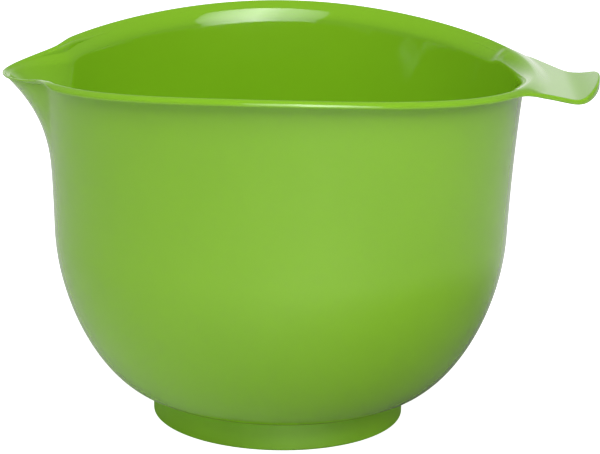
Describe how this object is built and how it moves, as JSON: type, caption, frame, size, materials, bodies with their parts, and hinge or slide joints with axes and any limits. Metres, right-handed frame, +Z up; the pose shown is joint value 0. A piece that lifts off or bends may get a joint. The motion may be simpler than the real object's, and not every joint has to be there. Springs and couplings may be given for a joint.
{
  "type": "mixing bowl",
  "caption": "Deep round mixing bowl with a dipped rim, a pouring spout, a flat tab handle opposite it and a removable grip ring round its foot.",
  "frame": {"origin": "on the bowl's axis, in the plane of the grip ring's underside, which is the surface the bowl stands on", "axes": "+Z up along the bowl's axis, +X towards the tab handle, -X towards the spout; the bowl is the same on both sides of the XZ plane"},
  "size_m": [0.2438, 0.2078, 0.156],
  "materials": {
    "bowl_plastic": "smooth gloss moulded plastic, lime green all through",
    "grip_rubber": "satin moulded rubber, coloured to match the bowl"
  },
  "bodies": {
    "bowl": {"bowl": "bowl_plastic"},
    "grip_ring": {"base_ring": "grip_rubber"}
  },
  "joints": [
    {"name": "ring_pull", "type": "slide", "parent": "bowl", "child": "grip_ring", "axis": [0, 0, -1], "range_m": [0, 0.02]}
  ]
}
